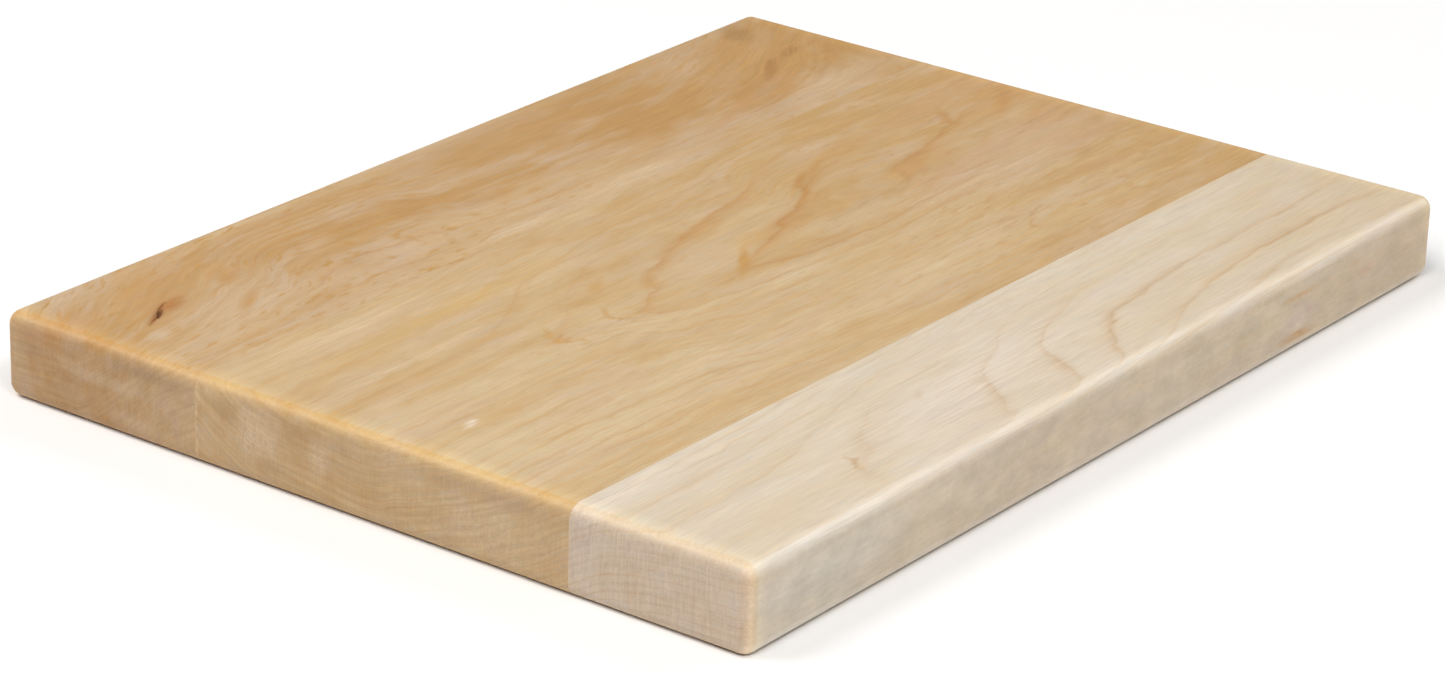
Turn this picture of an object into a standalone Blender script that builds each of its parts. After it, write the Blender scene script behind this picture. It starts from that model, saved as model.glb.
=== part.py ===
"""Edge-glued maple cutting board: three long-grain planks held by two glue lines.

Frame: origin at the middle of the underside, +X along the grain, +Y across the board
from the pale near plank to the figured far plank, +Z up. Lengths are in metres.
"""

import bmesh
import bpy
from mathutils import Vector

# The board as it leaves the router, with every outer edge and corner rounded over
BOARD_LENGTH = 0.508
BOARD_WIDTH = 0.381
BOARD_THICKNESS = 0.0381
EDGE_RADIUS = 0.00635
EDGE_SEGMENTS = 8

# Full-length planks; the middle one takes the width that the other two leave
NEAR_PLANK_WIDTH = 0.0841
FAR_PLANK_WIDTH = 0.1061

# Film of glue in each butt joint, shrunk back a little from the board's surface all round
GLUE_THICKNESS = 0.0002
GLUE_CLEARANCE = 0.0003
GLUE_RECESS = 0.0003

# The joints' middle planes, worked out from the widths above
JOINT_WIDTH = GLUE_THICKNESS + 2 * GLUE_CLEARANCE
NEAR_SIDE = -BOARD_WIDTH / 2
FAR_SIDE = BOARD_WIDTH / 2
NEAR_JOINT = NEAR_SIDE + NEAR_PLANK_WIDTH + JOINT_WIDTH / 2
FAR_JOINT = FAR_SIDE - FAR_PLANK_WIDTH - JOINT_WIDTH / 2

# Surfaces meet in a crisp line where they turn by more than this, in radians
SHARP_ANGLE = 0.6

# Colour, roughness and metallic value of each material
PALE_MAPLE = ((0.74, 0.62, 0.46), 0.50, 0.0)
TAN_MAPLE = ((0.65, 0.46, 0.26), 0.50, 0.0)
FIGURED_MAPLE = ((0.59, 0.39, 0.20), 0.50, 0.0)
CURED_GLUE = ((0.50, 0.34, 0.18), 0.60, 0.0)


def clear_scene():
    """Remove whatever the opening scene holds."""
    for old in list(bpy.data.objects):
        bpy.data.objects.remove(old, do_unlink=True)


def make_material(name, look):
    """Principled material from a colour, a roughness and a metallic value."""
    colour, roughness, metallic = look
    material = bpy.data.materials.new(name)
    material.use_nodes = True
    shader = material.node_tree.nodes["Principled BSDF"]
    shader.inputs["Base Color"].default_value = (*colour, 1.0)
    shader.inputs["Roughness"].default_value = roughness
    shader.inputs["Metallic"].default_value = metallic
    return material


def make_block(length, width, thickness):
    """Plain block about the middle of the board's thickness."""
    bm = bmesh.new()
    bmesh.ops.create_cube(bm, size=1)
    bmesh.ops.scale(bm, vec=(length, width, thickness), verts=bm.verts)
    bmesh.ops.translate(bm, vec=(0, 0, BOARD_THICKNESS / 2), verts=bm.verts)
    return bm


def round_over(bm, edges, radius):
    """Round the given edges to a quarter circle."""
    bmesh.ops.bevel(
        bm,
        geom=edges,
        offset=radius,
        segments=EDGE_SEGMENTS,
        profile=0.5,
        affect="EDGES",
    )


def saw_off(bm, y, side):
    """Remove all that lies beyond y, towards +Y or -Y as side says, and cap the cut."""
    whole = bm.verts[:] + bm.edges[:] + bm.faces[:]
    cut = bmesh.ops.bisect_plane(
        bm, geom=whole, dist=1e-6, plane_co=(0, y, 0), plane_no=(0, side, 0), clear_outer=True
    )
    rim = [piece for piece in cut["geom_cut"] if isinstance(piece, bmesh.types.BMEdge)]
    bmesh.ops.edgeloop_fill(bm, edges=rim)


def place(bm, name, look, board):
    """Turn the mesh into a named object that has its origin under its own middle."""
    bmesh.ops.recalc_face_normals(bm, faces=bm.faces)
    across = [corner.co.y for corner in bm.verts]
    centre = Vector((0, (min(across) + max(across)) / 2, 0))
    bmesh.ops.translate(bm, vec=-centre, verts=bm.verts)
    mesh = bpy.data.meshes.new(name)
    bm.to_mesh(mesh)
    bm.free()
    mesh.shade_smooth()
    mesh.set_sharp_from_angle(angle=SHARP_ANGLE)
    mesh.materials.append(make_material(name, look))
    piece = bpy.data.objects.new(name, mesh)
    piece.location = centre
    piece.parent = board
    bpy.context.collection.objects.link(piece)


def make_plank(name, cuts, look, board):
    """Rounded board sawn off at each (y, side) cut, which leaves one plank of it."""
    bm = make_block(BOARD_LENGTH, BOARD_WIDTH, BOARD_THICKNESS)
    round_over(bm, bm.edges[:], EDGE_RADIUS)
    for y, side in cuts:
        saw_off(bm, y, side)
    place(bm, name, look, board)


def make_glue_line(name, joint, board):
    """Upright film in a joint, following the board's rounded section a little inside it."""
    bm = make_block(
        BOARD_LENGTH - 2 * GLUE_RECESS, GLUE_THICKNESS, BOARD_THICKNESS - 2 * GLUE_RECESS
    )
    across = [edge for edge in bm.edges if edge.verts[0].co.y * edge.verts[1].co.y < 0]
    round_over(bm, across, EDGE_RADIUS - GLUE_RECESS)
    bmesh.ops.translate(bm, vec=(0, joint, 0), verts=bm.verts)
    place(bm, name, CURED_GLUE, board)


def main():
    clear_scene()
    board = bpy.data.objects.new("cutting_board", None)
    bpy.context.collection.objects.link(board)

    half_joint = JOINT_WIDTH / 2
    make_plank("plank_near", [(NEAR_JOINT - half_joint, 1)], PALE_MAPLE, board)
    make_plank(
        "plank_middle",
        [(NEAR_JOINT + half_joint, -1), (FAR_JOINT - half_joint, 1)],
        TAN_MAPLE,
        board,
    )
    make_plank("plank_far", [(FAR_JOINT + half_joint, -1)], FIGURED_MAPLE, board)
    make_glue_line("glue_line_near", NEAR_JOINT, board)
    make_glue_line("glue_line_far", FAR_JOINT, board)


main()
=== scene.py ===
from math import cos, radians, sin

import bpy
from mathutils import Matrix, Vector


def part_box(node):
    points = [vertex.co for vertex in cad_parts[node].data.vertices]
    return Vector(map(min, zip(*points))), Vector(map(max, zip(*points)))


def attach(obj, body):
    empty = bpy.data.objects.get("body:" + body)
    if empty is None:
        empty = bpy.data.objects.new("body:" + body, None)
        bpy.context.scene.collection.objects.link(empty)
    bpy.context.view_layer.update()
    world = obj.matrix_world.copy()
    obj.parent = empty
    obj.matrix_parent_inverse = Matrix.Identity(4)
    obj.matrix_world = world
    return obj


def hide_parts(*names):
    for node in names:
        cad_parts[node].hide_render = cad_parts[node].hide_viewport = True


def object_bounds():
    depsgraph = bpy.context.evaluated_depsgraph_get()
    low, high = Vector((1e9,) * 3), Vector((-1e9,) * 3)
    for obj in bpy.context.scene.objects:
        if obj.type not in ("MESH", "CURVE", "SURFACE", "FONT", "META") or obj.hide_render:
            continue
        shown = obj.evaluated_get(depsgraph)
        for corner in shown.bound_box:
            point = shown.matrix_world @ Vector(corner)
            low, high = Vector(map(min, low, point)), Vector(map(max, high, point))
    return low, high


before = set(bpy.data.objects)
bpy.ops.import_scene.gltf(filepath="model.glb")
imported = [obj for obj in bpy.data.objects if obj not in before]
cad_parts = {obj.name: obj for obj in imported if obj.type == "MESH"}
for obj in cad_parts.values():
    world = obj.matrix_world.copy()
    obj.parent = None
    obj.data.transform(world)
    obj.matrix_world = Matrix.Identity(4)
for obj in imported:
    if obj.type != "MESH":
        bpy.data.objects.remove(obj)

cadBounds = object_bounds()
boardTop = cadBounds[1][2]
mm = 0.001


# short ways to write shader nodes

def newMaterial(name):
    material = bpy.data.materials.new(name)
    material.use_nodes = True
    return material, material.node_tree, material.node_tree.nodes["Principled BSDF"]


def feed(tree, socket, value):
    if isinstance(value, bpy.types.NodeSocket):
        tree.links.new(value, socket)
    else:
        socket.default_value = value


def addNode(tree, kind, inputs=None, **settings):
    node = tree.nodes.new(kind)
    for key, value in settings.items():
        setattr(node, key, value)
    for key, value in (inputs or {}).items():
        feed(tree, node.inputs[key], value)
    return node


def calc(tree, operation, *values, clamp=False):
    node = addNode(tree, "ShaderNodeMath", operation=operation, use_clamp=clamp)
    for socket, value in zip(node.inputs, values):
        feed(tree, socket, value)
    return node.outputs[0]


def pack(tree, x, y, z):
    return addNode(tree, "ShaderNodeCombineXYZ", {"X": x, "Y": y, "Z": z}).outputs[0]


def remap(tree, value, low, high, toLow=0.0, toHigh=1.0, style="LINEAR"):
    node = addNode(tree, "ShaderNodeMapRange", interpolation_type=style, clamp=True)
    for socket, given in zip(node.inputs, (value, low, high, toLow, toHigh)):
        feed(tree, socket, given)
    return node.outputs[0]


def mixColours(tree, amount, first, second, blend="MIX"):
    node = addNode(tree, "ShaderNodeMix", data_type="RGBA", blend_type=blend)
    feed(tree, node.inputs[0], amount)
    for socket, value in ((node.inputs[6], first), (node.inputs[7], second)):
        feed(tree, socket, value if isinstance(value, bpy.types.NodeSocket) else (*value, 1.0))
    return node.outputs[2]


# noise about zero, in a box of cells that are (along, across, deep) millimetres long;
# the seed moves it by a different share along each
def grainNoise(tree, x, y, z, cell, seed, detail=2.0, roughness=0.5):
    place = pack(
        tree,
        calc(tree, "MULTIPLY_ADD", x, 1 / cell[0], seed),
        calc(tree, "MULTIPLY_ADD", y, 1 / cell[1], seed * 0.37),
        calc(tree, "MULTIPLY_ADD", z, 1 / cell[2], -seed * 0.61),
    )
    noise = addNode(
        tree,
        "ShaderNodeTexNoise",
        {"Vector": place, "Scale": 1.0, "Detail": detail, "Roughness": roughness},
    )
    return calc(tree, "SUBTRACT", noise.outputs[0], 0.5)


# a smooth curve through points given in the units of the value and of the result
def followCurve(tree, value, points):
    ins = [p[0] for p in points]
    outs = [p[1] for p in points]
    lowIn, highIn, lowOut, highOut = ins[0], ins[-1], min(outs), max(outs)
    share = remap(tree, value, lowIn, highIn)
    node = addNode(tree, "ShaderNodeFloatCurve", {"Value": share})
    curve = node.mapping.curves[0]
    span = highOut - lowOut
    places = [((i - lowIn) / (highIn - lowIn), (o - lowOut) / span) for i, o in points]
    curve.points[0].location = places[0]
    curve.points[1].location = places[-1]
    for place in places[1:-1]:
        curve.points.new(*place)
    for point in curve.points:
        point.handle_type = "AUTO_CLAMPED"
    node.mapping.update()
    return calc(tree, "MULTIPLY_ADD", node.outputs[0], span, lowOut)


# 1 in the middle of a soft-edged egg-shaped spot, 0 outside it
def softSpot(tree, place, centre, reach, turn=0.0):
    rotation = (0, 0, radians(turn))
    inputs = {"Vector": place, "Location": centre, "Rotation": rotation, "Scale": reach}
    local = addNode(tree, "ShaderNodeMapping", inputs, vector_type="TEXTURE").outputs[0]
    ball = addNode(tree, "ShaderNodeTexGradient", {"Vector": local}, gradient_type="SPHERICAL")
    return remap(tree, ball.outputs[1], 0.0, 1.0, style="SMOOTHSTEP")


# Wood. Growth rings are sheets that lie one under another: rise says how they climb along
# the board, bowl how they curve up across it, and drift how knots push them sideways.
# All in millimetres, x along the grain and y across it from the board's middle.

wood = {
    # cell (along, across, deep) in mm, step from the plank's seed, detail and roughness
    "noises": {
        "slow": ((170, 45, 45), 0, 1.0, 0.5),
        "quick": ((30, 14, 14), 3, 3.0, 0.55),
        "feather": ((20, 2.5, 2.5), 5, 2.0, 0.5),
        "lift": ((40, 16, 16), 7, 3.0, 0.6),
        "patchy": ((60, 14, 8), 11, 3.0, 0.6),
        "ragged": ((12, 4, 4), 13, 3.0, 0.5),
        "broad": ((300, 30, 5), 17, 2.0, 0.5),
        "blotch": ((42, 11, 11), 53, 3.0, 0.6),
        "fine": ((90, 4, 2.2), 23, 3.0, 0.6),
        "streak": ((32, 1.5, 1.5), 37, 3.0, 0.6),
        "blush": ((65, 16, 16), 41, 3.0, 0.6),
        "dash": ((24, 4.5, 4.5), 47, 3.0, 0.6),
        "speck": ((10, 3.2, 3.2), 61, 2.0, 0.5),
        "fleck": ((2.6, 0.5, 0.5), 29, 1.0, 0.5),
        "fibre": ((22, 0.45, 0.45), 31, 3.0, 0.6),
        "ray": ((30, 0.6, 9), 43, 2.0, 0.5),
        "cloud": ((16, 16, 9), 67, 4.0, 0.7),
        "band": ((200, 26, 1.5), 59, 2.0, 0.6),
    },
    "bumpDepth": 30,  # mm
    "raggedReach": (16.0, 8.0),  # mm along and across
    "middleTone": 0.5,
    # noise from and to, then what it is turned into; 0 to 1 where that isn't given
    "lineStrength": (-0.2, 0.2, 0.2, 1.1),
    "stainStrength": (-0.15, 0.15, 0.6, 1.2),
    "blushFrom": (-0.04, 0.2),
    "dashFrom": (0.02, 0.26),
    "speckFrom": (0.06, 0.28),
    "fleckFrom": (0.14, 0.24),
    # how far a face turns to the end, the long side or up, from and to
    "endGrain": (0.6, 0.99),
    "longSide": (0.82, 1.0),
    "dashFacing": (0.8, 0.97),
    "goldFacing": (0.02, 0.4),
    "sideLineLoss": 0.7,
    "sideGrainLoss": 0.65,
    # painted highlights on the rounded edges: mm from the end, turn, and for the long sides mm from
    # the underside
    "endHighlightPlace": (6.0, 13.0, 1.0, 0.0),
    "endHighlightFacing": (0.4, 0.75, 1.0, 0.0),
    "sideHighlightFacing": (0.1, 0.6),
    "sideHighlightUp": (0.0, 0.3),
    "sideHighlightHeight": (6.0, 7.0, 1.5, 1.0),
    "cornerGain": 2.0,
    # painted contact shadow low on the edge: mm from the underside, and turn
    "contactShadeHeight": (0.3, 2.6, 1.0, 0.0),
    "contactShadeFacing": (0.93, 0.995, 1.0, 0.0),
    "contactLineHeight": (0.5, 1.5, 1.0, 0.0),
    "contactLineFacing": (0.97, 0.999, 1.0, 0.0),
    "contactShadeOffSide": (0.0, 0.4, 1.0, 0.1),
    "fibreRoughness": 0.15,
    "endRoughness": 0.08,
    "reliefDepth": 0.12 * mm,
}


def woodNoise(tree, kind, x, y, z, look):
    cell, step, detail, roughness = wood["noises"][kind]
    return grainNoise(tree, x, y, z, cell, look["seed"] + step, detail, roughness)


# multiplies the colour by a tint, as much as amount says
def tintWhere(tree, amount, colour, tint):
    tinted = mixColours(tree, 1.0, colour, tint, "MULTIPLY")
    return mixColours(tree, amount, colour, tinted)


def growthSheets(tree, x, y, depth, look):
    slow = woodNoise(tree, "slow", x, y, depth, look)
    quick = woodNoise(tree, "quick", x, y, depth, look)
    feather = woodNoise(tree, "feather", x, y, depth, look)
    along = calc(tree, "MULTIPLY_ADD", feather, look["feather"], x)
    flow = calc(tree, "MULTIPLY_ADD", slow, look["wander"], y)
    flow = calc(tree, "MULTIPLY_ADD", quick, look["ripple"], flow)
    for drift, reach in look["drifts"]:
        push = calc(tree, "MULTIPLY", followCurve(tree, x, drift), followCurve(tree, y, reach))
        flow = calc(tree, "SUBTRACT", flow, push)
    rise = followCurve(tree, along, look["rise"])
    height = calc(tree, "SUBTRACT", rise, followCurve(tree, flow, look["bowl"]))
    height = calc(tree, "SUBTRACT", height, depth)
    place = pack(tree, along, flow, depth)
    for centre, reach, turn, amount in look["bumps"]:
        spot = softSpot(tree, place, (*centre, 0), (*reach, wood["bumpDepth"]), turn)
        height = calc(tree, "MULTIPLY_ADD", spot, amount, height)
    lift = woodNoise(tree, "lift", x, y, depth, look)
    return calc(tree, "MULTIPLY_ADD", lift, look["lift"], height), flow


def makeWood(name, look):
    material, tree, shader = newMaterial(name)
    here = addNode(tree, "ShaderNodeTexCoord").outputs["Object"]
    inputs = {0: here, "Scale": 1 / mm}
    scaled = addNode(tree, "ShaderNodeVectorMath", inputs, operation="SCALE").outputs[0]
    x, y, z = addNode(tree, "ShaderNodeSeparateXYZ", {0: scaled}).outputs
    depth = calc(tree, "SUBTRACT", boardTop / mm, z)
    normal = addNode(tree, "ShaderNodeNewGeometry").outputs["Normal"]
    facing = addNode(tree, "ShaderNodeVectorMath", {0: normal}, operation="ABSOLUTE").outputs[0]
    facingEnd, facingSide, facingUp = addNode(tree, "ShaderNodeSeparateXYZ", {0: facing}).outputs

    height, flow = growthSheets(tree, x, y, depth, look)
    rings = calc(tree, "DIVIDE", height, look["ringWidth"])
    phase = calc(tree, "FRACT", rings)
    number = calc(tree, "FLOOR", rings)
    fate = addNode(tree, "ShaderNodeTexWhiteNoise", {"W": number}, noise_dimensions="1D").outputs[0]

    # late wood: a fine brown line where rings meet, steeper on one side, with a soft shade
    # on the other; the lines are fainter on the long sides
    line = calc(tree, "EXPONENT", calc(tree, "DIVIDE", phase, -look["lineWidth"]))
    left = calc(tree, "SUBTRACT", phase, 1.0)
    before = calc(tree, "EXPONENT", calc(tree, "DIVIDE", left, look["lineEdge"]))
    line = calc(tree, "MAXIMUM", line, before)
    shade = calc(tree, "EXPONENT", calc(tree, "DIVIDE", phase, -look["shadeWidth"]))
    strength = remap(tree, fate, 0.0, 1.0, look["faintLine"], look["boldLine"])
    patchy = woodNoise(tree, "patchy", x, flow, height, look)
    patchy = remap(tree, patchy, *wood["lineStrength"])
    strength = calc(tree, "MULTIPLY", strength, patchy)
    ragged = woodNoise(tree, "ragged", x, y, depth, look)
    alongReach, acrossReach = wood["raggedReach"]
    raggedPlace = pack(
        tree,
        calc(tree, "MULTIPLY_ADD", ragged, alongReach, x),
        calc(tree, "MULTIPLY_ADD", ragged, acrossReach, y),
        z,
    )
    for centre, reach, turn, amount in look["boldPlaces"]:
        spot = softSpot(tree, raggedPlace, centre, reach, turn)
        strength = calc(tree, "MULTIPLY_ADD", spot, amount, strength, clamp=True)
    endGrain = remap(tree, facingEnd, *wood["endGrain"], style="SMOOTHSTEP")
    longSide = remap(tree, facingSide, *wood["longSide"], style="SMOOTHSTEP")
    faded = calc(tree, "MULTIPLY_ADD", longSide, -wood["sideLineLoss"], 1.0)
    strength = calc(tree, "MULTIPLY", strength, faded)

    # slow colour changes, blotches and finer streaks that follow the grain
    broad = woodNoise(tree, "broad", x, flow, height, look)
    blotch = woodNoise(tree, "blotch", x, flow, z, look)
    fine = woodNoise(tree, "fine", x, flow, height, look)
    streak = woodNoise(tree, "streak", x, flow, z, look)
    tone = calc(tree, "MULTIPLY_ADD", broad, look["broadTone"], wood["middleTone"])
    tone = calc(tree, "MULTIPLY_ADD", blotch, look["blotchTone"], tone)
    tone = calc(tree, "MULTIPLY_ADD", fine, look["fineTone"], tone)
    tone = calc(tree, "MULTIPLY_ADD", streak, look["streakTone"], tone)
    tone = calc(tree, "ADD", tone, followCurve(tree, x, look["warmAlong"]))
    tone = calc(tree, "ADD", tone, followCurve(tree, y, look["warmAcross"]), clamp=True)
    colour = mixColours(tree, tone, look["pale"], look["tan"])
    blush = woodNoise(tree, "blush", x, flow, z, look)
    blush = remap(tree, blush, *wood["blushFrom"], 0.0, look["blush"])
    colour = mixColours(tree, blush, colour, look["greyPink"])

    # the ring lines with their shade, then short dashes and specks on the top and underside
    halo = calc(tree, "MULTIPLY_ADD", strength, look["halo"], look["shade"])
    halo = calc(tree, "MULTIPLY", shade, halo)
    colour = mixColours(tree, halo, colour, look["shadeTint"])
    colour = mixColours(tree, calc(tree, "MULTIPLY", line, strength), colour, look["line"])
    dash = remap(tree, woodNoise(tree, "dash", x, flow, z, look), *wood["dashFrom"])
    dash = calc(tree, "MULTIPLY", dash, followCurve(tree, x, look["dashes"]))
    speck = remap(tree, woodNoise(tree, "speck", x, flow, z, look), *wood["speckFrom"])
    specks = followCurve(tree, x, look["specks"])
    dash = calc(tree, "MULTIPLY_ADD", speck, specks, dash, clamp=True)
    dash = calc(tree, "MULTIPLY", dash, remap(tree, facingUp, *wood["dashFacing"]))
    colour = mixColours(tree, dash, colour, look["dashTint"])

    # stains, streaks and knots at their places
    thready = remap(tree, streak, *wood["stainStrength"])
    for centre, reach, turn, amount, tint in look["stains"]:
        spot = softSpot(tree, raggedPlace, centre, reach, turn)
        spot = calc(tree, "MULTIPLY", calc(tree, "MULTIPLY", spot, thready), amount, clamp=True)
        colour = mixColours(tree, spot, colour, tint)

    # ray flecks and fibres, clouds on the long sides, rays and bands on the end grain
    fleck = remap(tree, woodNoise(tree, "fleck", x, y, z, look), *wood["fleckFrom"])
    fleck = calc(tree, "MULTIPLY", fleck, look["flecks"])
    colour = mixColours(tree, fleck, colour, look["line"])
    fibre = woodNoise(tree, "fibre", x, y, z, look)
    ray = woodNoise(tree, "ray", x, y, z, look)
    gain = calc(tree, "MULTIPLY_ADD", fibre, look["fibres"], 0.0)
    gain = calc(tree, "MULTIPLY_ADD", streak, look["streakGain"], gain)
    faded = calc(tree, "MULTIPLY_ADD", longSide, -wood["sideGrainLoss"], 1.0)
    gain = calc(tree, "MULTIPLY", gain, faded)
    cloud = woodNoise(tree, "cloud", x, y, z, look)
    cloud = calc(tree, "MULTIPLY", cloud, longSide)
    gain = calc(tree, "MULTIPLY_ADD", cloud, look["sideClouds"], gain)
    gain = calc(tree, "ADD", gain, look["brightness"])
    ray = calc(tree, "MULTIPLY", ray, endGrain)
    gain = calc(tree, "MULTIPLY_ADD", ray, look["rays"], gain)
    band = woodNoise(tree, "band", x, flow, height, look)
    band = calc(tree, "MULTIPLY", band, endGrain)
    gain = calc(tree, "MULTIPLY_ADD", band, look["endBands"], gain)
    colour = mixColours(tree, 1.0, colour, pack(tree, gain, gain, gain), "MULTIPLY")

    # painted highlight: the rounded edges are made paler where a lamp's sheen falls, and the lower
    # edge of the long sides paler still
    toEnd = calc(tree, "SUBTRACT", cadBounds[1][0] / mm, calc(tree, "ABSOLUTE", x))
    atEnd = remap(tree, toEnd, *wood["endHighlightPlace"])
    endHighlight = calc(tree, "MULTIPLY", atEnd, remap(tree, facingEnd, *wood["endHighlightFacing"]))
    colour = tintWhere(tree, endHighlight, colour, look["endHighlightTint"])
    sideHighlight = remap(tree, facingSide, *wood["sideHighlightFacing"])
    sideHighlight = calc(tree, "MULTIPLY", sideHighlight, remap(tree, facingUp, *wood["sideHighlightUp"]))
    sideHighlight = calc(tree, "MULTIPLY", sideHighlight, remap(tree, z, *wood["sideHighlightHeight"]))
    colour = tintWhere(tree, sideHighlight, colour, look["sideHighlightTint"])

    # oil soaks into end grain: golden where the edge turns over, then darker
    goldEdge = remap(tree, facingEnd, *wood["goldFacing"], style="SMOOTHSTEP")
    colour = tintWhere(tree, goldEdge, colour, look["edgeTint"])
    colour = tintWhere(tree, endGrain, colour, look["endTint"])
    # painted shade: the long sides are darkened as if less lit than the top
    colour = tintWhere(tree, longSide, colour, look["sideShadeTint"])

    # the upright corners are sanded through both
    corner = calc(tree, "MULTIPLY", facingEnd, facingSide)
    corner = calc(tree, "MULTIPLY", corner, wood["cornerGain"], clamp=True)
    colour = tintWhere(tree, corner, colour, look["cornerTint"])

    # painted shade: the lower rounded edge is darkened as a contact shadow, less of it along the
    # long sides
    lowDown = remap(tree, z, *wood["contactShadeHeight"])
    contactShade = calc(tree, "MULTIPLY", lowDown, remap(tree, facingUp, *wood["contactShadeFacing"]))
    offSide = remap(tree, facingSide, *wood["contactShadeOffSide"])
    contactShade = calc(tree, "MULTIPLY", contactShade, offSide)
    colour = tintWhere(tree, contactShade, colour, look["contactShadeTint"])
    lowest = remap(tree, z, *wood["contactLineHeight"])
    contactLine = calc(tree, "MULTIPLY", lowest, remap(tree, facingUp, *wood["contactLineFacing"]))
    contactLine = calc(tree, "MULTIPLY", contactLine, offSide)
    colour = tintWhere(tree, contactLine, colour, look["contactLineTint"])

    feed(tree, shader.inputs["Base Color"], colour)
    rough = calc(tree, "MULTIPLY_ADD", fibre, wood["fibreRoughness"], look["roughness"])
    rough = calc(tree, "MULTIPLY_ADD", endGrain, wood["endRoughness"], rough)
    feed(tree, shader.inputs["Roughness"], rough)
    inputs = {"Height": fibre, "Strength": look["relief"], "Distance": wood["reliefDepth"]}
    relief = addNode(tree, "ShaderNodeBump", inputs)
    feed(tree, shader.inputs["Normal"], relief.outputs[0])
    return material


# Planks. Each is the whole rounded board sawn down to its own width, so that the rounded
# edges run on from plank to plank.

board = {
    "edgeRadius": 6.35 * mm,
    "edgeSegments": 12,
    "smoothAngle": 30,  # degrees
    "cutterSegments": 28,
    "glueThickness": 0.12 * mm,
    "glueSlack": 0.005 * mm,
}

# the bark pocket by the far plank's knot: x, y, length, width, depth in mm and turn in degrees
barkPocket = [
    (-222, 136, 12, 1.3, 0.7, 24),
    (-215.5, 139.5, 11, 1.9, 1.4, 38),
    (-209, 144, 10, 1.6, 1.0, 22),
]


def sawOff(y, side):
    bpy.ops.mesh.select_all(action="SELECT")
    bpy.ops.mesh.bisect(plane_co=(0, y, 0), plane_no=(0, side, 0), use_fill=True, clear_outer=True)


def carve(plank, x, y, length, width, depth, turn):
    segments = board["cutterSegments"]
    bpy.ops.object.select_all(action="DESELECT")
    bpy.ops.mesh.primitive_uv_sphere_add(segments=segments, ring_count=segments // 2, radius=0.5)
    cutter = bpy.context.object
    cutter.scale = (length * mm, width * mm, 2 * depth * mm)
    cutter.rotation_euler.z = radians(turn)
    cutter.location = (x * mm, y * mm, boardTop)
    bpy.context.view_layer.objects.active = plank
    hollow = plank.modifiers.new("hollow", "BOOLEAN")
    hollow.operation = "DIFFERENCE"
    hollow.solver = "EXACT"
    hollow.object = cutter
    bpy.ops.object.modifier_apply(modifier=hollow.name)
    bpy.data.objects.remove(cutter, do_unlink=True)


def makePlank(name, cuts, hollows=()):
    low, high = cadBounds
    bpy.ops.object.select_all(action="DESELECT")
    bpy.ops.mesh.primitive_cube_add(size=1, location=(low + high) / 2, scale=high - low)
    plank = bpy.context.object
    plank.name = name
    bpy.ops.object.transform_apply(location=True, rotation=False, scale=True)
    bpy.ops.object.mode_set(mode="EDIT")
    bpy.ops.mesh.select_all(action="SELECT")
    bpy.ops.mesh.bevel(offset=board["edgeRadius"], segments=board["edgeSegments"], affect="EDGES")
    for y, side in cuts:
        sawOff(y, side)
    bpy.ops.object.mode_set(mode="OBJECT")
    for hollow in hollows:
        carve(plank, *hollow)
    bpy.ops.object.select_all(action="DESELECT")
    plank.select_set(True)
    bpy.ops.object.shade_smooth_by_angle(angle=radians(board["smoothAngle"]))
    weighted = plank.modifiers.new("evenShading", "WEIGHTED_NORMAL")
    weighted.keep_sharp = True
    bpy.ops.object.modifier_apply(modifier=weighted.name)
    return plank


def jointPlace(glueLine):
    low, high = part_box(glueLine)
    return (low[1] + high[1]) / 2


nearJoint = jointPlace("glue_line_near")
farJoint = jointPlace("glue_line_far")
halfGlue = board["glueThickness"] / 2
halfGap = halfGlue + board["glueSlack"]

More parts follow.
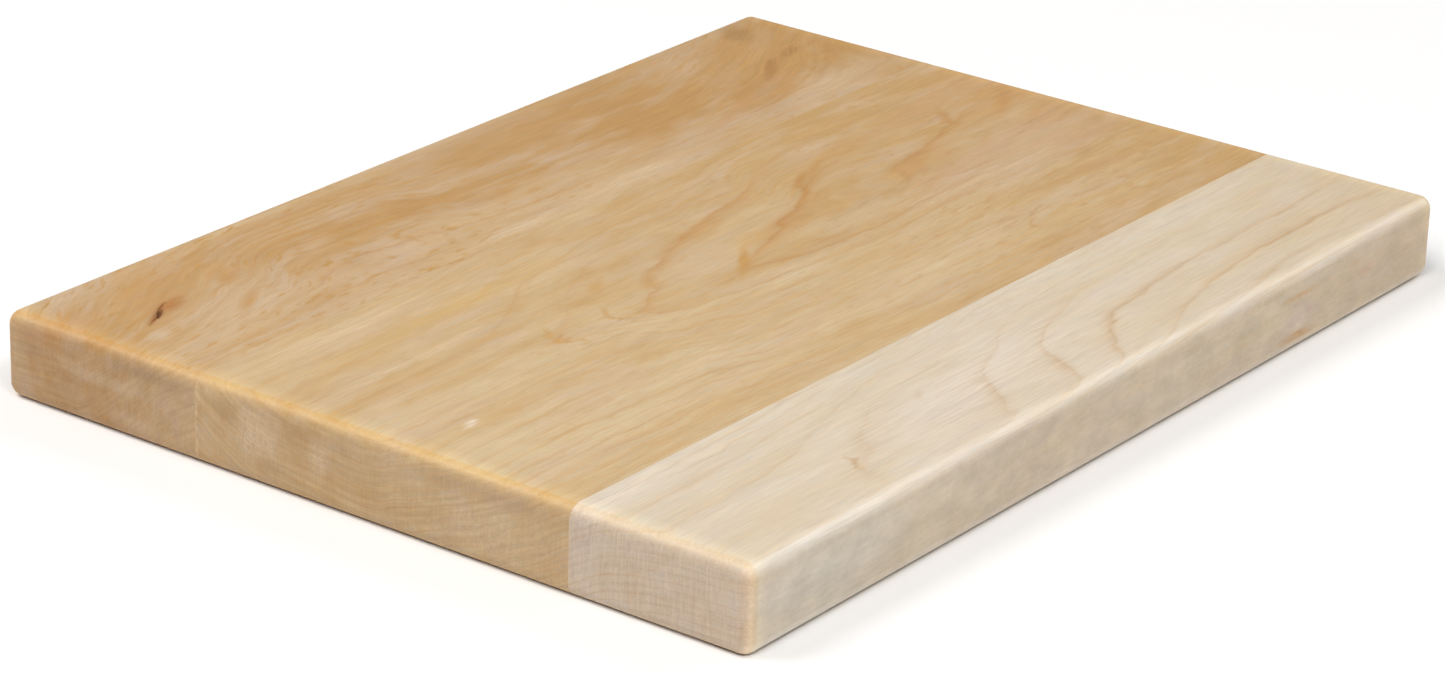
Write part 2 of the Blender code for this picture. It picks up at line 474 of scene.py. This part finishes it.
# centres and reaches are (x, y, z) in mm, then a turn in degrees, an amount and a colour
middleLook = {
    "seed": 4.0,
    "ringWidth": 3.5,
    "rise": [(-254, 2.4), (-180, 2.6), (-133, 3.5), (-88, 7.0), (-22, 10.5), (100, 14.0),
             (205, 17.5), (254, 19.5)],
    "bowl": [(-108, 44), (-80, 27), (-60, 18), (-36, 9.5), (-25, 6), (-18, 3.6), (-13, 1.2),
             (-9, 0.6), (-4, 0.1), (-3, 0), (-2, 0.1), (8, 1.2), (22, 3.0), (36, 4.6),
             (46, 6.0), (56, 8.6), (70, 15), (86, 26)],
    # each drift: mm of push along x, and its share across y
    "drifts": [
        ([(-254, 0), (-130, 2), (-85, -6), (-22, -9), (40, -9), (100, -5), (160, 0), (254, 0)],
         [(-108, 0), (-60, 0.6), (-30, 1), (-5, 1), (12, 0.2), (40, 0), (86, 0)]),
        ([(-254, 0), (50, 0), (90, 9), (140, 5), (254, 0)],
         [(-108, 0), (-5, 0), (15, 1), (50, 1), (86, 0)]),
    ],
    "bumps": [],
    "feather": 4.0,
    "wander": 5.0,
    "ripple": 7.0,
    "lift": 1.2,
    "lineWidth": 0.09,
    "lineEdge": 0.045,
    "faintLine": 0.15,
    "boldLine": 0.5,
    "boldPlaces": [
        ((30, 20, 38), (130, 40, 20), 8, 0.7),
        ((-132, 0, 38), (14, 18, 20), 0, 0.7),
        ((160, 12, 38), (80, 30, 20), 10, 0.7),
        ((60, -22, 38), (100, 12, 20), -4, 0.6),
        ((170, -12, 38), (90, 12, 20), 4, 0.5),
    ],
    "shade": 0.15,
    "halo": 0.5,
    "shadeWidth": 0.2,
    "shadeTint": (0.59, 0.36, 0.15),
    "broadTone": 0.9,
    "blotchTone": 1.2,
    "fineTone": 0.65,
    "streakTone": 1.0,
    "warmAlong": [(-254, -0.05), (0, 0.05), (130, 0.3), (254, 0.6)],
    "warmAcross": [(-108, -0.05), (-90, -0.05), (-75, -0.15), (-40, -0.1), (0, 0), (40, 0.15),
                   (86, 0.15)],
    "dashes": [(-254, 0.15), (0, 0.25), (254, 0.7)],
    "specks": [(-254, 0.3), (0, 0.4), (100, 0.8), (254, 1.0)],
    "dashTint": (0.52, 0.30, 0.12),
    "blush": 0.6,
    "greyPink": (0.60, 0.45, 0.31),
    "pale": (0.65, 0.50, 0.30),
    "tan": (0.54, 0.335, 0.135),
    "line": (0.48, 0.235, 0.07),
    "stains": [
        ((-145, 53, 38), (110, 8, 10), 0, 0.8, (0.60, 0.38, 0.14)),
        ((-190, 71, 38), (110, 16, 14), 0, 0.5, (0.72, 0.57, 0.37)),
        ((-195, 30, 38), (75, 5, 10), 0, 0.5, (0.72, 0.57, 0.37)),
        ((-210, 20, 38), (60, 3, 8), 0, 0.5, (0.55, 0.33, 0.13)),
        ((-128, -5, 38), (14, 3.5, 8), -52, 1.1, (0.56, 0.32, 0.11)),
        ((-130, 5, 38), (10, 3.5, 8), 60, 0.9, (0.56, 0.33, 0.12)),
        ((-97, -6, 38), (12, 3, 8), -52, 1.0, (0.54, 0.32, 0.12)),
        ((-96, 2, 38), (10, 3, 8), 45, 0.9, (0.54, 0.32, 0.12)),
        ((-85, -9, 38), (9, 4, 8), 0, 0.6, (0.54, 0.31, 0.12)),
        ((-77, 23, 38), (13, 6, 8), 30, 0.8, (0.55, 0.32, 0.11)),
        ((-55, 12, 38), (15, 5, 8), 36, 0.8, (0.52, 0.31, 0.12)),
        ((-25, 25, 38), (16, 5, 8), 10, 0.8, (0.52, 0.31, 0.13)),
        ((12, 34, 38), (18, 5, 8), 8, 0.6, (0.53, 0.31, 0.12)),
        ((38, 39, 38), (14, 5, 8), 16, 0.6, (0.53, 0.31, 0.12)),
        ((-12, -6, 38), (23, 3.8, 8), 36, 1.3, (0.54, 0.30, 0.09)),
        ((74, 26, 38), (9, 4, 8), 85, 1.2, (0.50, 0.26, 0.08)),
        ((83, 34, 38), (17, 4, 8), 27, 1.2, (0.50, 0.26, 0.08)),
        ((66, 19, 38), (14, 3.5, 8), 30, 0.9, (0.52, 0.28, 0.09)),
        ((97, 37, 38), (22, 5, 8), 22, 0.9, (0.50, 0.27, 0.08)),
        ((125, 45, 38), (30, 6, 8), 10, 0.6, (0.53, 0.29, 0.10)),
        ((133, 5, 38), (15, 6, 8), 30, 0.9, (0.52, 0.29, 0.10)),
        ((150, 12, 38), (20, 4, 8), 25, 0.6, (0.53, 0.31, 0.12)),
        ((234, 27, 38), (36, 6, 8), 32, 1.0, (0.50, 0.26, 0.08)),
        ((182, 2, 38), (20, 4, 8), 25, 0.7, (0.54, 0.32, 0.13)),
        ((32, -17, 38), (26, 6, 8), -16, 0.9, (0.53, 0.31, 0.12)),
        ((75, -24, 38), (24, 5, 8), -4, 0.8, (0.53, 0.32, 0.13)),
        ((112, -15, 38), (34, 3.5, 8), 12, 0.9, (0.53, 0.32, 0.13)),
        ((170, -9, 38), (50, 4, 8), 0, 0.7, (0.53, 0.32, 0.13)),
        ((168, -38, 38), (10, 4, 8), 20, 0.6, (0.53, 0.33, 0.15)),
        ((-217, -22, 38), (14, 3, 6), 0, 0.8, (0.56, 0.32, 0.12)),
        ((-218, -28, 38), (6, 3, 5), 0, 0.7, (0.80, 0.70, 0.56)),
        ((-202, -62, 38), (16, 3, 6), 0, 0.6, (0.54, 0.33, 0.15)),
        ((-25, -58, 38), (14, 3, 6), 0, 0.6, (0.54, 0.33, 0.15)),
        ((104, -63, 38), (18, 4, 6), 0, 0.9, (0.52, 0.32, 0.14)),
        ((188, -55, 38), (32, 4.5, 6), -10, 0.9, (0.53, 0.32, 0.15)),
        ((140, -51, 38), (16, 4, 6), 0, 0.6, (0.53, 0.32, 0.15)),
        ((-85, -38, 38), (9, 3, 5), 20, 0.5, (0.54, 0.33, 0.15)),
        ((198, -42, 38), (10, 4, 5), 20, 0.9, (0.52, 0.31, 0.14)),
        ((170, -18, 38), (120, 32, 20), 0, 0.5, (0.58, 0.40, 0.27)),
        ((250, 30, 38), (70, 60, 20), 0, 0.5, (0.56, 0.31, 0.12)),
        ((190, -5, 38), (90, 10, 12), 6, 0.6, (0.57, 0.36, 0.22)),
        ((215, 10, 38), (40, 9, 10), 12, 0.35, (0.68, 0.52, 0.35)),
        ((150, -26, 38), (70, 6, 10), 0, 0.35, (0.68, 0.52, 0.35)),
        ((185, 45, 38), (70, 14, 12), 10, 0.5, (0.56, 0.34, 0.17)),
        ((225, -30, 38), (46, 8, 10), 0, 0.6, (0.53, 0.32, 0.16)),
        ((120, 45, 38), (60, 9, 12), 0, 0.5, (0.56, 0.33, 0.13)),
        ((0, -97, 38), (330, 10, 14), 0, 0.3, (0.55, 0.36, 0.17)),
        ((-254, 85, 20), (8, 3, 40), 0, 0.6, (0.86, 0.68, 0.46)),
        ((188, 26, 38), (8, 4, 8), -50, 1.0, (0.51, 0.27, 0.09)),
        ((193, 33, 38), (16, 5, 8), 50, 1.0, (0.51, 0.27, 0.09)),
        ((-254, 33, 29), (10, 12, 7), 0, 0.5, (0.46, 0.28, 0.14)),
        ((-254, 68, 28), (10, 9, 8), 0, 0.5, (0.46, 0.28, 0.14)),
        ((-254, 52, 20), (10, 20, 16), 0, 0.5, (0.80, 0.66, 0.48)),
        ((-254, -60, 31), (10, 60, 6), 0, 0.35, (0.46, 0.28, 0.14)),
        ((-254, -72, 16), (10, 46, 18), 0, 0.4, (0.72, 0.57, 0.38)),
        ((-254, 0, 14), (10, 46, 18), 0, 0.5, (0.56, 0.36, 0.15)),
        ((-254, 44, 10), (10, 22, 5), -30, 0.5, (0.48, 0.31, 0.16)),
        ((-254, 20, 20), (10, 8, 12), 0, 0.4, (0.76, 0.62, 0.45)),
    ],
    "flecks": 0.25,
    "brightness": 0.96,
    "fibres": 0.4,
    "streakGain": 0.32,
    "endBands": 0.4,
    "rays": 0.25,
    "sideClouds": 0.6,
    # painted highlights on the rounded edges
    "endHighlightTint": (1.12, 1.13, 1.09),
    "sideHighlightTint": (1.12, 1.15, 1.21),
    "edgeTint": (0.95, 0.86, 0.66),
    "endTint": (0.755, 0.79, 0.97),
    # painted shade on the long sides
    "sideShadeTint": (0.865, 0.835, 0.79),
    "cornerTint": (1.0, 0.93, 0.86),
    # painted contact shadow along the lower edge
    "contactShadeTint": (0.62, 0.47, 0.30),
    "contactLineTint": (0.60, 0.50, 0.38),
    "roughness": 0.46,
    "relief": 0.5,
}

nearLook = dict(
    middleLook,
    seed=9.0,
    rise=[(-254, -2.4), (-180, -2.8), (-160, -3.5), (-110, -5.2), (-70, -7), (-22, -10.5),
          (24, -14), (60, -15.3), (254, -16.5)],
    bowl=[(-195, 0.2), (-183, 0), (-167, -0.6), (-157, -1.1), (-148, -2.2), (-140, -3.5),
          (-135, -4.5), (-125, -7), (-115, -12), (-104, -19)],
    drifts=[],
    bumps=[((165, -192), (215, 46), 0, -6.0), ((-95, -134), (75, 24), 15, -2.2)],
    boldPlaces=[
        ((-20, -160, 38), (170, 36, 20), 0, 0.7),
        ((150, -160, 38), (150, 24, 20), 0, 0.55),
    ],
    endBands=0.2,
    rays=0.35,
    feather=2.5,
    shadeTint=(0.66, 0.50, 0.33),
    warmAlong=[(-254, -0.1), (100, 0.05), (254, 0.35)],
    warmAcross=[(-191, 0), (-150, 0.1), (-125, 0.05), (-115, -0.1), (-104, -0.15)],
    dashes=[(-254, 0.05), (254, 0.15)],
    specks=[(-254, 0.1), (254, 0.3)],
    dashTint=(0.58, 0.42, 0.26),
    blush=0.5,
    greyPink=(0.66, 0.55, 0.46),
    pale=(0.71, 0.625, 0.505),
    tan=(0.64, 0.505, 0.335),
    line=(0.52, 0.32, 0.14),
    stains=[
        ((-151, -163, 38), (9, 3.5, 6), 70, 0.7, (0.50, 0.28, 0.10)),
        ((-82, -145, 38), (6, 2.5, 5), 20, 0.5, (0.52, 0.32, 0.14)),
        ((-205, -168, 38), (45, 16, 12), 0, 0.45, (0.66, 0.50, 0.32)),
        ((-225, -115, 38), (70, 14, 12), 0, 0.4, (0.80, 0.70, 0.60)),
        ((-254, -111, 26), (10, 6, 8), 0, 0.3, (0.52, 0.36, 0.24)),
        ((-254, -164, 22), (10, 8, 12), 0, 0.3, (0.58, 0.44, 0.32)),
        ((138, -191, 16), (24, 10, 12), 0, 0.6, (0.72, 0.60, 0.53)),
        ((137, -191, 7.5), (20, 10, 3.5), 0, 1.2, (0.60, 0.36, 0.17)),
        ((137, -191, 25.5), (22, 10, 3), 0, 0.9, (0.61, 0.40, 0.22)),
        ((147, -191, 17), (8, 10, 4), 0, 0.7, (0.64, 0.43, 0.34)),
        ((133, -191, 14), (7, 10, 3), 0, 0.6, (0.64, 0.43, 0.34)),
        ((195, -191, 20), (14, 10, 3.5), 0, 0.7, (0.63, 0.42, 0.31)),
        ((185, -191, 27), (10, 10, 3), 0, 0.6, (0.61, 0.41, 0.24)),
        ((66, -191, 12), (16, 10, 5), 0, 0.5, (0.64, 0.46, 0.32)),
        ((215, -191, 22), (70, 10, 16), 0, 0.5, (0.60, 0.42, 0.29)),
        ((-210, -191, 18), (90, 8, 30), 0, 0.7, (0.69, 0.66, 0.60)),
        ((-50, -152, 38), (150, 40, 20), 0, 0.55, (0.74, 0.65, 0.55)),
    ],
    flecks=0.12,
    edgeTint=(0.94, 0.875, 0.80),
    endTint=(0.75, 0.75, 0.81),
)

farLook = dict(
    middleLook,
    seed=14.0,
    rise=[(-254, 0), (0, 3), (254, 5)],
    bowl=[(80, 0), (110, -10), (150, -28), (195, -50)],
    drifts=[
        ([(-254, 0), (-200, 0), (-165, 2), (-120, 17), (-80, 17), (-35, 3), (20, 0), (254, 0)],
         [(80, 0), (95, 0.05), (140, 1), (155, 1), (185, 0.2), (195, 0.2)]),
        ([(-254, -45), (-215, -25), (-190, -13), (-160, -3), (-100, 0), (100, 0), (130, 3),
          (180, 14), (254, 48)],
         [(80, 0), (100, 0.3), (120, 0.7), (150, 1), (195, 1)]),
    ],
    bumps=[((-215, 140), (40, 16), 27, 5.0), ((198, 134), (40, 12), 27, 4.0)],
    endTint=(0.73, 0.76, 0.925),
    boldLine=0.45,
    boldPlaces=[((-110, 150, 38), (100, 45, 20), 0, 0.3)],
    warmAlong=[(-254, 0.05), (-100, 0.0), (0, 0.1), (110, 0.42), (254, 0.55)],
    # tone across the plank is the wood's own, but the paler end from 182 mm outwards is a painted
    # highlight on the far rounded edge
    warmAcross=[(80, -0.5), (100, -0.3), (115, -0.1), (140, 0.2), (170, 0.15), (182, -0.3),
                (195, -0.4)],
    dashes=[(-254, 0.7), (-150, 0.6), (-60, 0.35), (100, 0.2), (254, 0.4)],
    specks=[(-254, 1.3), (-150, 1.3), (-40, 1.0), (60, 0.5), (150, 0.8), (254, 1.2)],
    dashTint=(0.51, 0.28, 0.085),
    blush=0.8,
    fineTone=0.6,
    pale=(0.61, 0.435, 0.25),
    tan=(0.485, 0.27, 0.09),
    greyPink=(0.57, 0.41, 0.27),
    line=(0.44, 0.20, 0.06),
    stains=[
        ((-45, 92, 38), (30, 9, 12), 0, 0.4, (0.70, 0.55, 0.38)),
        ((40, 92, 38), (80, 9, 12), 0, 0.4, (0.70, 0.55, 0.38)),
        ((205, 98, 38), (60, 22, 14), 10, 0.5, (0.65, 0.50, 0.33)),
        ((-190, 125, 38), (70, 30, 20), 20, 0.35, (0.66, 0.53, 0.38)),
        ((-165, 150, 38), (16, 9, 12), 40, 0.6, (0.56, 0.31, 0.11)),
        ((-200, 165, 38), (60, 20, 14), 20, 0.4, (0.55, 0.31, 0.12)),
        ((-245, 160, 38), (18, 24, 14), 0, 0.5, (0.52, 0.28, 0.10)),
        ((-232, 124, 38), (10, 7, 8), 27, 0.35, (0.68, 0.56, 0.43)),
        ((45, 166, 38), (140, 26, 14), 0, 0.5, (0.50, 0.29, 0.11)),
        ((60, 125, 38), (30, 8, 12), 0, 0.4, (0.52, 0.31, 0.13)),
        ((140, 110, 38), (60, 5, 10), 14, 0.6, (0.54, 0.29, 0.12)),
        ((196, 134, 38), (30, 11, 12), 27, 0.6, (0.50, 0.26, 0.10)),
        ((185, 127, 38), (12, 4.5, 8), 35, 1.2, (0.43, 0.20, 0.07)),
        ((196, 134, 38), (17, 4.5, 8), 32, 3.0, (0.39, 0.175, 0.05)),
        ((209, 139, 38), (12, 4, 8), 20, 1.2, (0.45, 0.21, 0.06)),
        ((221, 141, 38), (12, 4.5, 8), 20, 3.0, (0.39, 0.18, 0.05)),
        ((236, 140, 38), (9, 4, 8), 20, 1.0, (0.46, 0.24, 0.08)),
        ((222, 173, 38), (18, 12, 14), 50, 1.4, (0.37, 0.20, 0.065)),
        ((168, 116, 38), (26, 7, 8), 28, 0.6, (0.50, 0.31, 0.17)),
        ((186, 120, 38), (16, 6, 8), 20, 0.6, (0.50, 0.30, 0.15)),
        ((215, 160, 38), (60, 30, 20), 20, 0.4, (0.50, 0.29, 0.12)),
        ((-212, 142, 38), (26, 8, 10), 27, 0.6, (0.50, 0.25, 0.09)),
        ((-216, 140, 38), (19, 3.0, 6), 27, 1.2, (0.33, 0.14, 0.04)),
        ((-205, 142, 38), (12, 6, 6), 12, 1.2, (0.44, 0.19, 0.05)),
        ((-215.5, 139.5, 37), (8, 2.6, 4), 38, 1.8, (0.20, 0.085, 0.03)),
        ((-168, 146, 38), (16, 7, 8), 50, 0.7, (0.50, 0.27, 0.09)),
        ((-182, 121, 38), (18, 5, 8), 32, 0.8, (0.50, 0.28, 0.10)),
        ((-90, 134, 38), (22, 7, 8), 10, 0.6, (0.50, 0.28, 0.10)),
        ((-58, 130, 38), (24, 5, 8), -12, 0.6, (0.50, 0.29, 0.11)),
        ((-254, 175, 27), (10, 10, 10), 0, 0.5, (0.40, 0.22, 0.10)),
        ((-254, 168, 31), (10, 22, 6), 0, 0.6, (0.56, 0.30, 0.12)),
        ((-254, 135, 22), (10, 36, 5), 0, 0.4, (0.72, 0.58, 0.42)),
        ((-254, 110, 31), (10, 34, 5), 0, 0.8, (0.42, 0.28, 0.15)),
        ((-254, 155, 10), (10, 16, 6), 0, 0.5, (0.45, 0.29, 0.15)),
        ((-254, 120, 9), (10, 20, 5), 0, 0.4, (0.70, 0.55, 0.40)),
        ((200, 145, 38), (110, 50, 30), 0, 0.45, (0.54, 0.31, 0.10)),
    ],
)

nearPlank = makePlank("nearPlank", [(nearJoint - halfGap, 1)])
middlePlank = makePlank("middlePlank", [(nearJoint + halfGap, -1), (farJoint - halfGap, 1)])
farPlank = makePlank("farPlank", [(farJoint + halfGap, -1)], barkPocket)
for plank, look, node, slot in (
    (nearPlank, nearLook, "plank_near", "pale_maple"),
    (middlePlank, middleLook, "plank_middle", "tan_maple"),
    (farPlank, farLook, "plank_far", "figured_maple"),
):
    plank.data.materials.append(makeWood(plank.name + "Wood", look))
    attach(plank, "root")
    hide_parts(node)
print("planks: three, with a bark pocket in the far one")


# Glue lines: a film sawn from the same rounded board, so that it comes flush all round.

glue = {
    "dark": (0.46, 0.29, 0.14),
    "light": (0.62, 0.46, 0.28),
    "dustScale": 900.0,  # wood dust in the glue
    "dustDetail": 3.0,
    "dustRange": (0.2, 0.8),
    "roughness": (0.5, 0.75),
}


def makeGlue():
    material, tree, shader = newMaterial("curedGlue")
    here = addNode(tree, "ShaderNodeTexCoord").outputs["Object"]
    inputs = {"Vector": here, "Scale": glue["dustScale"], "Detail": glue["dustDetail"]}
    dust = addNode(tree, "ShaderNodeTexNoise", inputs).outputs[0]
    feed(tree, shader.inputs["Base Color"], mixColours(tree, dust, glue["dark"], glue["light"]))
    rough = remap(tree, dust, *glue["dustRange"], *glue["roughness"])
    feed(tree, shader.inputs["Roughness"], rough)
    return material


curedGlue = makeGlue()
for name, joint, node in (
    ("nearGlueLine", nearJoint, "glue_line_near"),
    ("farGlueLine", farJoint, "glue_line_far"),
):
    film = makePlank(name, [(joint - halfGlue, -1), (joint + halfGlue, 1)])
    film.data.materials.append(curedGlue)
    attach(film, "root")
    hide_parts(node)
print("glue lines: two")


# Studio: a pale floor, soft lights and the camera

studio = {
    "floorSize": 8.0,
    "floorColour": (0.90, 0.90, 0.90),
    "floorRoughness": 0.9,
    "worldLight": 0.30,
    "lightDistance": 5.0,
    # name, azimuth, elevation, size in metres, power in watts, colour
    "lights": [
        ("keyLight", -75, 45, 2.4, 97, (1.0, 0.985, 0.97)),
        ("cornerLight", -33, 47, 1.2, 55, (1.0, 1.0, 1.0)),
        ("backLight", -140, 55, 2.6, 105, (1.0, 0.99, 0.97)),
        ("sideLight", 62, 38, 2.4, 62, (1.0, 1.0, 1.0)),
    ],
    # metres and degrees, and millimetres for the lens and sensor
    "camera": {
        "aim": (-0.0476, -0.0223, 0.019),
        "azimuth": -53.55,
        "elevation": 22.51,
        "roll": 1.69,
        "distance": 1.98,
        "lens": 118.3,
        "sensor": 36,
    },
}


def direction(azimuth, elevation):
    a, e = radians(azimuth), radians(elevation)
    return Vector((sin(a) * cos(e), -cos(a) * cos(e), sin(e)))


def makeFloor():
    bpy.ops.object.select_all(action="DESELECT")
    bpy.ops.mesh.primitive_plane_add(size=studio["floorSize"], location=(0, 0, cadBounds[0][2]))
    floor = bpy.context.object
    floor.name = "studioFloor"
    material, tree, shader = newMaterial("paleFloor")
    feed(tree, shader.inputs["Base Color"], (*studio["floorColour"], 1.0))
    feed(tree, shader.inputs["Roughness"], studio["floorRoughness"])
    floor.data.materials.append(material)


def makeLight(name, azimuth, elevation, size, power, colour):
    bpy.ops.object.light_add(type="AREA")
    light = bpy.context.object
    light.name = name
    light.data.shape = "DISK"
    light.data.size = size
    light.data.energy = power
    light.data.color = colour
    back = direction(azimuth, elevation)
    light.location = back * studio["lightDistance"]
    light.rotation_euler = back.to_track_quat("Z", "Y").to_euler()


def makeWorld():
    world = bpy.data.worlds.new("studioWorld")
    world.use_nodes = True
    world.node_tree.nodes["Background"].inputs["Color"].default_value = (1, 1, 1, 1)
    world.node_tree.nodes["Background"].inputs["Strength"].default_value = studio["worldLight"]
    bpy.context.scene.world = world


def makeCamera():
    view = studio["camera"]
    bpy.ops.object.camera_add()
    camera = bpy.context.object
    camera.name = "mainCamera"
    camera.data.lens = view["lens"]
    camera.data.sensor_width = view["sensor"]
    back = direction(view["azimuth"], view["elevation"])
    place = Vector(view["aim"]) + back * view["distance"]
    camera.matrix_world = (
        Matrix.Translation(place)
        @ Matrix.Rotation(radians(view["azimuth"]), 4, "Z")
        @ Matrix.Rotation(radians(90 - view["elevation"]), 4, "X")
        @ Matrix.Rotation(radians(view["roll"]), 4, "Z")
    )
    bpy.context.scene.camera = camera


makeFloor()
makeWorld()
for name, azimuth, elevation, size, power, colour in studio["lights"]:
    makeLight(name, azimuth, elevation, size, power, colour)
makeCamera()
bpy.context.scene.view_settings.view_transform = "Standard"
print("studio: done")
